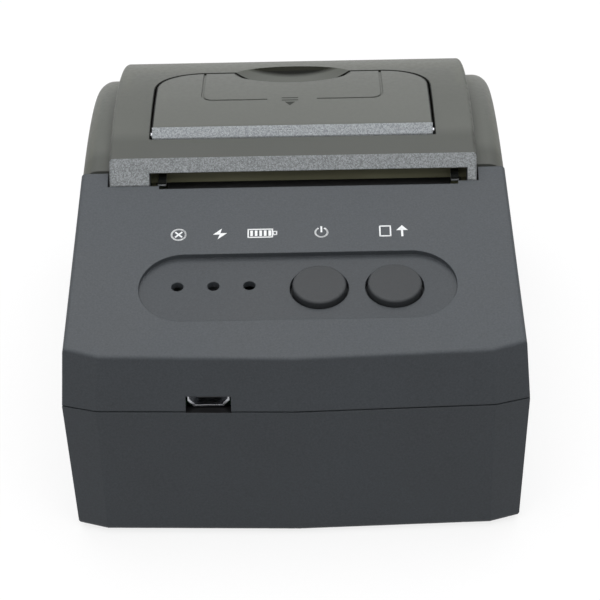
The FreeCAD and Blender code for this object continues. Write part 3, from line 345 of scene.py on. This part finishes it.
def smoky(name, frost_rear, clear, frost_light, frost_dark):
    # smoky lid plastic, frosted with bright specks in front of a line across the lid, with painted shade and
    # painted light at set places
    s = Shader(name)
    fine = s.noise(0.9)
    colour = s.blend(s.noise(22.0), rgb(97, 99, 95), rgb(104, 106, 102))
    wall, lugs = slot_painted_tones(s)
    # painted light: a lighter olive on the wall at the back of the slot, which lies in shade
    colour = s.blend(wall, colour, rgb(146, 145, 118))
    # painted shade on the lugs, along the flap's gap and on the wall behind the scoop
    dark = s.any_of(lugs, flap_gap_painted_shade(s), scoop_painted_shade(s))
    # painted shade over the lid in front of the flap, where the dark inside would show through the lid
    painted_inside_shade = s.spread(s.axis("Y"), (FRONT_Y + PAINTED_INSIDE_SHADE_FRONT) * MM,
                            (FRONT_Y + PAINTED_INSIDE_SHADE_REAR) * MM, PAINTED_INSIDE_SHADE, 0.0)
    colour = s.blend(s.any_of(dark, painted_inside_shade), colour, rgb(24, 25, 25))
    gloss = s.surface(colour, s.middle(fine, 0.36, 0.46), s.bump(fine, 0.05, 0.02, 0.3),
                      Specular_IOR_Level=s.spread(dark, 0.0, 1.0, 0.15, 0.05))
    body = s.mixed(clear, gloss, s.light("ShaderNodeBsdfTransparent", rgb(196, 196, 170)))
    speck = s.cells(0.2)
    frost_colour = s.blend(s.spread(speck, 0.2, 1.0, 0.0, 1.0), frost_dark, frost_light)
    frost_rough = s.middle(s.noise(0.3, 3.0, 0.7), 0.42, 0.6)
    frost = s.surface(frost_colour, frost_rough, s.bump(speck, 0.35, 0.05, 0.2), Specular_IOR_Level=0.25)
    return s.done(s.mixed(s.math("SUBTRACT", s.before(frost_rear), lugs), body, frost))


def metal(name, light, dark, roughness, grain_mm):
    # brushed across the part
    s = Shader(name)
    stretch = s.node("ShaderNodeMapping")
    s.feed(stretch.inputs["Vector"], s.coords)
    s.feed(stretch.inputs["Scale"], (0.06, 1.0, 1.0))
    s.coords = stretch.outputs["Vector"]
    brush = s.noise(grain_mm, 4.0, 0.6)
    colour = s.blend(brush, dark, light)
    rough = s.middle(brush, roughness - 0.07, roughness + 0.07)
    return s.done(s.surface(colour, rough, s.bump(brush, 0.12, 0.02, 0.12), Metallic=1.0))


def rubber(name, light, dark):
    s = Shader(name)
    grain = s.noise(0.5, 4.0, 0.65)
    colour = s.blend(grain, dark, light)
    rough = s.spread(grain, 0.2, 0.8, 0.75, 0.92)
    return s.done(s.surface(colour, rough, s.bump(grain, 0.3, 0.05, 0.2)))


def circuit(name):
    # solder mask with copper runs that show through as a lighter green
    s = Shader(name)
    wave = s.node("ShaderNodeTexWave", bands_direction="DIAGONAL")
    s.feed(wave.inputs["Vector"], s.coords)
    s.feed(wave.inputs["Scale"], 320.0)
    s.feed(wave.inputs["Distortion"], 6.0)
    runs = s.math("GREATER_THAN", wave.outputs["Fac"], 0.72)
    weave = s.noise(0.4)
    mask = s.blend(weave, rgb(16, 66, 40), rgb(22, 78, 48))
    colour = s.blend(runs, mask, rgb(44, 112, 66))
    return s.done(s.surface(colour, s.middle(weave, 0.25, 0.4), s.bump(runs, 0.3, 0.03, 0.1)))


def wrapped(name):
    # shrink film round the cells, with slow wrinkles
    s = Shader(name)
    wrinkle = s.noise(5.0, 4.0, 0.6)
    colour = s.blend(wrinkle, rgb(46, 74, 122), rgb(58, 90, 142))
    rough = s.middle(s.noise(0.6), 0.22, 0.36)
    return s.done(s.surface(colour, rough, s.bump(wrinkle, 0.4, 0.15, 0.3)))


def lens(name):
    s = Shader(name)
    haze = s.noise(0.8)
    colour = s.blend(haze, rgb(6, 6, 7), rgb(13, 14, 15))
    return s.done(s.surface(colour, s.middle(haze, 0.4, 0.55), s.bump(haze, 0.08, 0.02),
                            Specular_IOR_Level=0.08))


def ink(name, light, dark, specular=0.5):
    s = Shader(name)
    fleck = s.noise(0.16, 3.0, 0.7)
    colour = s.blend(s.spread(fleck, 0.35, 0.6, 0.0, 1.0), dark, light)
    return s.done(s.surface(colour, s.middle(fleck, 0.45, 0.6), s.bump(fleck, 0.2, 0.01),
                            Specular_IOR_Level=specular))


finishes = {
    "case_plastic": moulded("case_plastic", rgb(71, 75, 79), rgb(58, 61, 64), 0.5, specular=0.22,
                            shade=case_shade),
    "lid_plastic": smoky("lid_plastic", LID_FROST_REAR, 0.2, rgb(158, 162, 164), rgb(107, 110, 111)),
    "bin_plastic": moulded("bin_plastic", rgb(52, 54, 54), rgb(44, 45, 46), 0.4, 0.8, 0.12),
    "foot_rubber": rubber("foot_rubber", rgb(44, 44, 45), rgb(30, 30, 31)),
    "roller_rubber": rubber("roller_rubber", rgb(40, 41, 42), rgb(28, 28, 29)),
    "gear_plastic": moulded("gear_plastic", rgb(214, 212, 202), rgb(202, 200, 190), 0.38, 0.5, 0.1, 0.1),
    "steel": metal("steel", rgb(196, 198, 202), rgb(150, 152, 156), 0.3, 0.25),
    "head_metal": metal("head_metal", rgb(182, 184, 188), rgb(146, 148, 152), 0.36, 0.4),
    "head_ceramic": moulded("head_ceramic", rgb(226, 222, 210), rgb(212, 207, 194), 0.3, 0.3, 0.08, 0.1),
    "board_green": circuit("board_green"),
    "battery_wrap": wrapped("battery_wrap"),
    "light_lens": lens("light_lens"),
    "plunger_plastic": moulded("plunger_plastic", rgb(58, 58, 60), rgb(48, 48, 50), 0.45, 0.4, 0.1, 0.1),
}
# the flap's frost colours are lighter than the lid's: painted light for the flap's front, which faces forward
# more
flap_finish = smoky("flap_plastic", FLAP_FROST_REAR, 0.1, rgb(186, 191, 194), rgb(133, 137, 140))
key_finish = moulded("key_plastic", rgb(56, 58, 60), rgb(49, 51, 53), 0.5, 0.35, 0.2, 0.3, specular=0.2)
chip_finish = moulded("chip_plastic", rgb(40, 40, 42), rgb(30, 30, 32), 0.5, 0.4, 0.2, 0.1)
white_ink = ink("white_ink", rgb(226, 228, 229), rgb(200, 202, 203))
# the pull sign on the flap: its engraved grooves are a flat sheet of dark painted shade
engraved_painted_shade = ink("engraved_painted_shade", rgb(52, 54, 51), rgb(42, 44, 41), 0.1)
recess_shade = ink("recess_shade", rgb(26, 26, 27), rgb(18, 18, 19), 0.1)

slot_of = {entry["node"]: entry["material_slot"] for entry in frame["record"]["subparts"]}
special = {"lid_flap": flap_finish, "power_button": key_finish, "feed_button": key_finish,
           "board_components": chip_finish, "tact_switches": chip_finish, "usb_tongue": chip_finish,
           "paper_sensor": chip_finish}
for name, item in nodes.items():
    item.data.materials.clear()
    item.data.materials.append(special.get(name) or finishes[slot_of[name]])


def add_piece(name, mesh, finish):
    data = bpy.data.meshes.new(name)
    mesh.to_mesh(data)
    mesh.free()
    data.materials.append(finish)
    item = bpy.data.objects.new(name, data)
    scene.collection.objects.link(item)
    return item


# Signs, as flat polygons of x and depth that are laid on a node's surface
def laid(name, polygons, node, body, finish):
    mesh = bmesh.new()
    for polygon in polygons:
        corners = []
        for x, depth in polygon:
            _, spot, normal, _ = nodes[node].ray_cast(place(x, depth, DROP_HEIGHT), Vector((0, 0, -1)))
            corners.append(mesh.verts.new(spot + normal * SIGN_LIFT * MM))
        mesh.faces.new(corners)
    bmesh.ops.recalc_face_normals(mesh, faces=mesh.faces)
    item = add_piece(name, mesh, finish)
    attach(item, body)


def stroke(points, width):
    # one quad for each piece of a line
    quads = []
    for (ax, ay), (bx, by) in zip(points, points[1:]):
        length = math.hypot(bx - ax, by - ay)
        dx, dy = (bx - ax) / length * width / 2, (by - ay) / length * width / 2
        quads.append([(ax - dx - dy, ay - dy + dx), (ax - dx + dy, ay - dy - dx),
                      (bx + dx + dy, by + dy - dx), (bx + dx - dy, by + dy + dx)])
    return quads


def arc(cx, cy, radius, first, last, count):
    steps = [math.radians(first + (last - first) * index / count) for index in range(count + 1)]
    return [(cx + radius * math.cos(step), cy + radius * math.sin(step)) for step in steps]


def box(x0, x1, y0, y1):
    return [(x0, y0), (x1, y0), (x1, y1), (x0, y1)]


def frame_line(x0, x1, y0, y1, width):
    corners = box(x0, x1, y0, y1)
    return stroke(corners + corners[:1], width)


def fault_sign():
    # a ring with a cross, whose second bar is in two halves
    middle, inner, outer = SIGN_TALL / 2, 0.2, 0.55

    def slant(start, end):
        return stroke([(FAULT_X + start, middle - start), (FAULT_X + end, middle - end)], SIGN_LINE)

    ring = stroke(arc(FAULT_X, middle, middle, 0, 360, 36), SIGN_LINE)
    bar = stroke([(FAULT_X - outer, middle - outer), (FAULT_X + outer, middle + outer)], SIGN_LINE)
    return ring + bar + slant(-inner, -outer) + slant(inner, outer)


def charging_sign():
    return [[(-14.0, 1.2), (-15.3, 1.2), (-13.6, SIGN_TALL), (-13.9, 1.55)],
            [(-14.0, 1.2), (-13.9, 1.55), (-12.6, 1.55), (-14.4, 0.0)]]


def battery_sign():
    outline = frame_line(BATTERY_X, BATTERY_X + 4.6, 0.35, 2.35, 0.26)
    starts = [BATTERY_X + 0.4 + BATTERY_BAR_STEP * index for index in range(BATTERY_BARS)]
    bars = [box(start, start + 0.5, 0.65, 2.05) for start in starts]
    return outline + bars + frame_line(BATTERY_X + 4.75, BATTERY_X + 5.4, 0.95, 1.75, 0.24)


def power_sign():
    ring = stroke(arc(POWER_X, 1.3, 1.15, 125, 415, 24), SIGN_LINE)
    return ring + [box(POWER_X - SIGN_LINE / 2, POWER_X + SIGN_LINE / 2, 1.3, 2.85)]


def feed_sign():
    # a sheet and an arrow
    sheet = frame_line(16.4, 18.4, 0.1, 2.6, 0.28)
    shaft = stroke([(ARROW_X, 0.1), (ARROW_X, 1.9)], 0.4)
    return sheet + shaft + [[(ARROW_X - 1.1, 1.5), (ARROW_X + 1.1, 1.5), (ARROW_X, 2.75)]]


def pull_sign():
    bars = [box(-2.1, 1.2, depth, depth + 0.4) for depth in (64.5, 63.4)]
    return bars + [[(-1.5, 62.8), (-0.45, 61.1), (0.6, 62.8)]]


for name, sign in (("mark_fault", fault_sign), ("mark_charging", charging_sign), ("mark_battery", battery_sign),
                   ("mark_power", power_sign), ("mark_feed", feed_sign)):
    on_deck = [[(x, SIGN_DEPTH + depth) for x, depth in polygon] for polygon in sign()]
    laid(name, on_deck, "upper_case", "base", white_ink)
laid("mark_pull", pull_sign(), "lid_flap", "flap", engraved_painted_shade)


# Cross recesses in the screw heads under the case, drawn as flat sheets of dark painted shade
def cross_recess(name, x, y, z):
    arms = [box(-CROSS_REACH, CROSS_REACH, -CROSS_HALF, CROSS_HALF),
            box(-CROSS_HALF, CROSS_HALF, -CROSS_REACH, -CROSS_HALF),
            box(-CROSS_HALF, CROSS_HALF, CROSS_HALF, CROSS_REACH)]
    mesh = bmesh.new()
    for arm in arms:
        corners = [(x + across * MM, y + along * MM, z - SIGN_LIFT * MM) for across, along in reversed(arm)]
        mesh.faces.new([mesh.verts.new(corner) for corner in corners])
    item = add_piece(name, mesh, recess_shade)
    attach(item, "base")


def screw_ends(node):
    # centres of the lowest round faces of a node of one or more screws
    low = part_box(node)[0].z
    groups = []
    for vertex in nodes[node].data.vertices:
        if vertex.co.z < low + SCREW_SLICE * MM:
            for group in groups:
                if (group[0].xy - vertex.co.xy).length < 3 * SCREW_HEAD * MM:
                    group.append(vertex.co.copy())
                    break
            else:
                groups.append([vertex.co.copy()])
    centres = []
    for group in groups:
        xs, ys = [corner.x for corner in group], [corner.y for corner in group]
        centres.append(((min(xs) + max(xs)) / 2, (min(ys) + max(ys)) / 2, low))
    return centres


for node in ("case_screws", "battery_door_screw"):
    for index, centre in enumerate(screw_ends(node)):
        cross_recess(f"{node}_cross_{index}", *centre)


# Floor, world, lamps and camera
def floor():
    s = Shader("floor_paper")
    fibre = s.noise(2.0, 3.0)
    paper = s.blend(fibre, (0.93, 0.93, 0.93, 1.0), (0.96, 0.96, 0.96, 1.0))
    matte = s.surface(paper, 0.9, s.bump(fibre, 0.02, 0.02))
    seen = s.mixed(FLOOR_WHITE, matte, s.light("ShaderNodeEmission", WHITE))
    bounce = s.surface(s.blend(fibre, FILL, (0.16, 0.16, 0.165, 1.0)), 0.9)
    finish = s.done(s.mixed(s.shows_background(), bounce, seen))
    mesh = bmesh.new()
    outline = box(-FLOOR_HALF, FLOOR_HALF, -FLOOR_HALF, FLOOR_HALF)
    mesh.faces.new([mesh.verts.new((x, y, -FLOOR_DROP * MM)) for x, y in outline])
    item = add_piece("floor", mesh, finish)


def studio():
    world = bpy.data.worlds.new("studio")
    scene.world = world
    world.use_nodes = True
    graph = Graph(world.node_tree, "ShaderNodeOutputWorld")
    fill = graph.light("ShaderNodeBackground", FILL)
    white = graph.light("ShaderNodeBackground", WHITE)
    graph.done(graph.mixed(graph.shows_background(), fill, white))


def area_light(name, where, size, power):
    data = bpy.data.lights.new(name, "AREA")
    data.shape = "RECTANGLE"
    data.size, data.size_y = size
    data.energy = power
    item = bpy.data.objects.new(name, data)
    scene.collection.objects.link(item)
    item.location = where
    item.rotation_euler = (LIGHT_AIM - Vector(where)).to_track_quat("-Z", "Y").to_euler()


def photo_camera():
    level = math.cos(CAMERA_ELEVATION)
    back = Vector((math.sin(CAMERA_AZIMUTH) * level, -math.cos(CAMERA_AZIMUTH) * level,
                   math.sin(CAMERA_ELEVATION)))
    right = (-back).cross(Vector((0, 0, 1))).normalized()
    up = right.cross(-back)
    across = math.cos(CAMERA_ROLL) * right + math.sin(CAMERA_ROLL) * up
    upward = math.cos(CAMERA_ROLL) * up - math.sin(CAMERA_ROLL) * right
    data = bpy.data.cameras.new("photo_camera")
    data.sensor_width = CAMERA_SENSOR
    data.lens = CAMERA_LENS
    data.clip_start = 0.01
    data.clip_end = 20.0
    camera = bpy.data.objects.new("photo_camera", data)
    scene.collection.objects.link(camera)
    turn = Matrix((across, upward, back)).transposed().to_4x4()
    camera.matrix_world = Matrix.Translation(CAMERA_PLACE) @ turn
    scene.camera = camera


floor()
studio()
for light in LIGHTS:
    area_light(*light)
photo_camera()
scene.view_settings.view_transform = "Standard"
